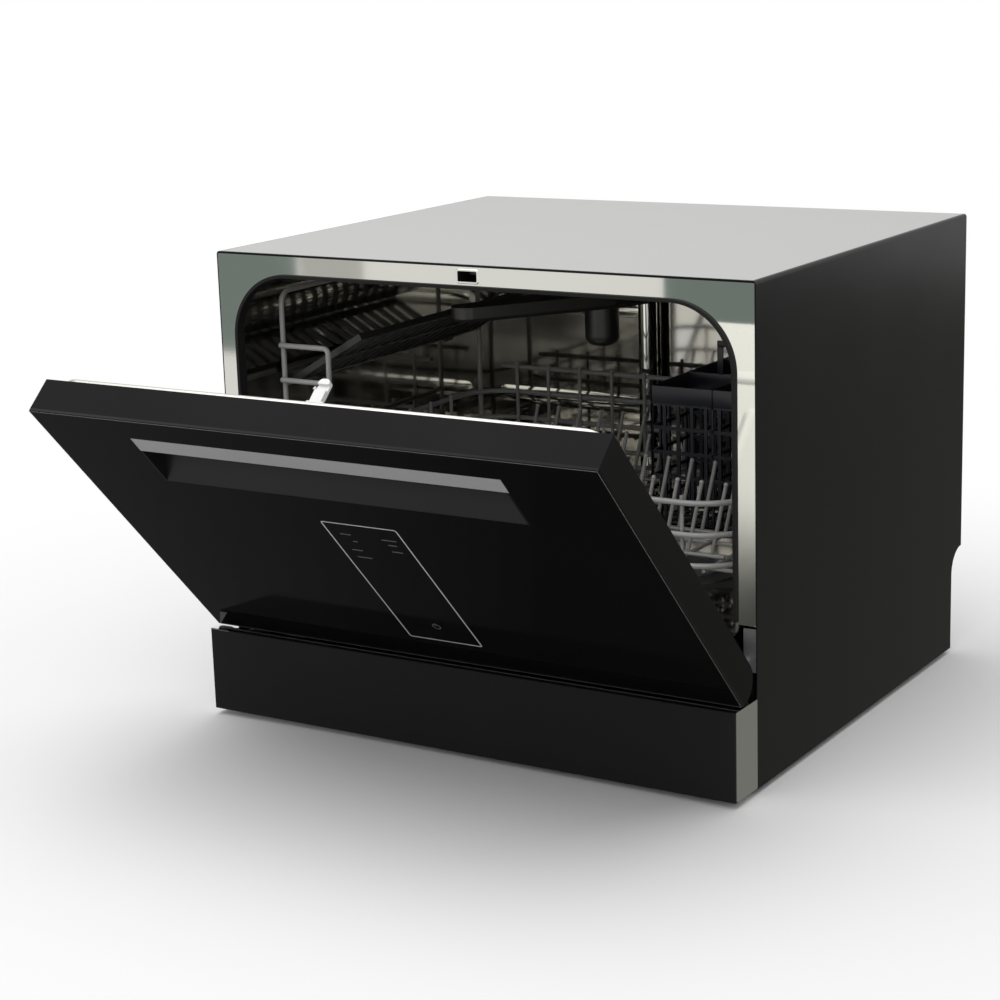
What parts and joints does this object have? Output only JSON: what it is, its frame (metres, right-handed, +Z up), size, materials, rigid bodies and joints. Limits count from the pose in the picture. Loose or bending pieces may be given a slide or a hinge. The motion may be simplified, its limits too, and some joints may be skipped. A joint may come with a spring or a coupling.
{
  "type": "compact dishwasher",
  "caption": "Free-standing compact dishwasher with a drop-down door, roll-out wire rack, spray arms, filter, pumps and a steel tub in a black cabinet",
  "frame": {"origin": "on the surface it stands on, under the middle of its bounding box with the door at rest", "axes": "+X to the user's right, +Y from the door to the rear, +Z up"},
  "size_m": [0.55, 0.7315, 0.438],
  "materials": {
    "black_paint": "satin",
    "grey_paint": "satin",
    "polished_steel": "polished",
    "tub_steel": "bright",
    "zinc_steel": "dull",
    "black_glass": "gloss",
    "plinth_black": "gloss",
    "door_black": "satin",
    "grey_alloy": "satin",
    "pocket_plastic": "satin",
    "base_plastic": "matt",
    "seal_rubber": "matt",
    "foot_rubber": "matt",
    "grey_plastic": "satin",
    "dark_plastic": "satin",
    "navy_plastic": "satin",
    "white_plastic": "gloss",
    "rack_coating": "satin nylon coat",
    "filter_steel": "mesh",
    "board_green": "board",
    "disc_fibre": "matt"
  },
  "bodies": {
    "cabinet": {"left_side_panel": "black_paint", "right_side_panel": "black_paint", "top_panel": "grey_paint", "top_front_rail": "black_paint", "rear_panel": "zinc_steel", "panel_screws": "zinc_steel", "base_tray": "base_plastic", "feet": "foot_rubber", "plinth_panel": "plinth_black", "plinth_frame": "polished_steel", "front_frame": "polished_steel", "tub_wrap": "tub_steel", "tub_back": "tub_steel", "tub_floor": "tub_steel", "tub_seal": "seal_rubber", "lower_seal": "seal_rubber", "sump": "dark_plastic", "fine_filter": "filter_steel", "spray_hub": "dark_plastic", "spray_arm_nuts": "dark_plastic", "upper_feed_pipe": "polished_steel", "wash_pump": "grey_plastic", "drain_pump": "grey_plastic", "flow_heater": "tub_steel", "water_hoses": "seal_rubber", "salt_container": "white_plastic", "water_chamber": "white_plastic", "inlet_valve": "white_plastic", "drain_spigot": "grey_plastic", "cord_gland": "base_plastic", "control_box": "dark_plastic", "latch_housing": "dark_plastic", "hinge_brackets": "zinc_steel", "hinge_pins": "zinc_steel", "friction_discs": "disc_fibre"},
    "door": {"door_outer_panel": "black_glass", "door_frame": "door_black", "door_inner_liner": "tub_steel", "handle_strip": "grey_alloy", "handle_pocket": "pocket_plastic", "control_board": "board_green", "dispenser_body": "grey_plastic", "latch_striker": "white_plastic", "hinge_arms": "zinc_steel"},
    "rack": {"rack_frame": "rack_coating"},
    "front_wheels": {"front_wheels": "grey_plastic"},
    "rear_wheels": {"rear_wheels": "grey_plastic"},
    "cup_shelf": {"cup_shelf": "dark_plastic"},
    "cutlery_basket": {"cutlery_basket": "navy_plastic"},
    "lower_spray_arm": {"lower_spray_arm": "grey_plastic"},
    "upper_spray_arm": {"upper_spray_arm": "dark_plastic"},
    "dispenser_lid": {"dispenser_lid": "dark_plastic"},
    "dispenser_catch": {"dispenser_catch": "white_plastic"},
    "rinse_aid_cap": {"rinse_aid_cap": "dark_plastic"},
    "coarse_filter": {"coarse_filter": "grey_plastic"},
    "salt_cap": {"salt_cap": "dark_plastic"},
    "float_ring": {"float_ring": "white_plastic"},
    "latch_catch": {"latch_catch": "dark_plastic"},
    "wash_impeller": {"wash_impeller": "white_plastic"},
    "drain_impeller": {"drain_impeller": "white_plastic"}
  },
  "joints": [
    {"name": "door_hinge", "type": "hinge", "parent": "cabinet", "child": "door", "pos_m": [0, -0.13203, 0.106], "axis": [1, 0, 0], "range_deg": [-43, 47]},
    {"name": "rack_slide", "type": "slide", "parent": "cabinet", "child": "rack", "axis": [0, -1, 0], "range_m": [0, 0.08]},
    {"name": "front_wheel_spin", "type": "hinge", "parent": "rack", "child": "front_wheels", "pos_m": [0, -0.0139, 0.1453], "axis": [1, 0, 0], "range_deg": [0, 331]},
    {"name": "rear_wheel_spin", "type": "hinge", "parent": "rack", "child": "rear_wheels", "pos_m": [0, 0.22183, 0.1453], "axis": [1, 0, 0], "range_deg": [0, 331]},
    {"name": "cup_shelf_fold", "type": "hinge", "parent": "rack", "child": "cup_shelf", "pos_m": [-0.232, 0.11097, 0.31], "axis": [0, -1, 0], "range_deg": [-30, 30]},
    {"name": "cutlery_basket_lift", "type": "slide", "parent": "rack", "child": "cutlery_basket", "axis": [0, 0, 1], "range_m": [0, 0.025]},
    {"name": "lower_spray_spin", "type": "hinge", "parent": "cabinet", "child": "lower_spray_arm", "pos_m": [0, 0.11097, 0.157], "axis": [0, 0, 1], "continuous": true},
    {"name": "upper_spray_spin", "type": "hinge", "parent": "cabinet", "child": "upper_spray_arm", "pos_m": [0, 0.13097, 0.375], "axis": [0, 0, 1], "continuous": true},
    {"name": "dispenser_lid_flip", "type": "hinge", "parent": "door", "child": "dispenser_lid", "pos_m": [-0.028, -0.18785, 0.20846], "axis": [-1, 0, 0], "range_deg": [0, 100]},
    {"name": "dispenser_catch_press", "type": "slide", "parent": "door", "child": "dispenser_catch", "axis": [0, -0.7314, -0.682], "range_m": [0, 0.003], "stiffness_N_per_m": 400},
    {"name": "rinse_cap_turn", "type": "hinge", "parent": "door", "child": "rinse_aid_cap", "pos_m": [0.046, -0.21831, 0.23885], "axis": [0, 0.7314, 0.682], "range_deg": [0, 90]},
    {"name": "filter_turn", "type": "hinge", "parent": "cabinet", "child": "coarse_filter", "pos_m": [0.105, 0.08597, 0.12], "axis": [0, 0, 1], "range_deg": [0, 90]},
    {"name": "salt_cap_turn", "type": "hinge", "parent": "cabinet", "child": "salt_cap", "pos_m": [-0.13, 0.04097, 0.14], "axis": [0, 0, 1], "range_deg": [0, 360]},
    {"name": "float_rise", "type": "slide", "parent": "cabinet", "child": "float_ring", "axis": [0, 0, 1], "range_m": [0, 0.012]},
    {"name": "latch_lift", "type": "hinge", "parent": "cabinet", "child": "latch_catch", "pos_m": [0, -0.07103, 0.431], "axis": [-1, 0, 0], "range_deg": [0, 6], "stiffness_Nm_per_rad": 0.05},
    {"name": "wash_pump_spin", "type": "hinge", "parent": "cabinet", "child": "wash_impeller", "pos_m": [0, 0.22597, 0.08], "axis": [1, 0, 0], "continuous": true},
    {"name": "drain_pump_spin", "type": "hinge", "parent": "cabinet", "child": "drain_impeller", "pos_m": [0.105, 0.01397, 0.062], "axis": [0, 1, 0], "continuous": true}
  ],
  "couplings": [
    {"joint": "front_wheel_spin", "follows": "rack_slide", "rad_per_m": 71.429},
    {"joint": "rear_wheel_spin", "follows": "rack_slide", "rad_per_m": 71.429}
  ]
}
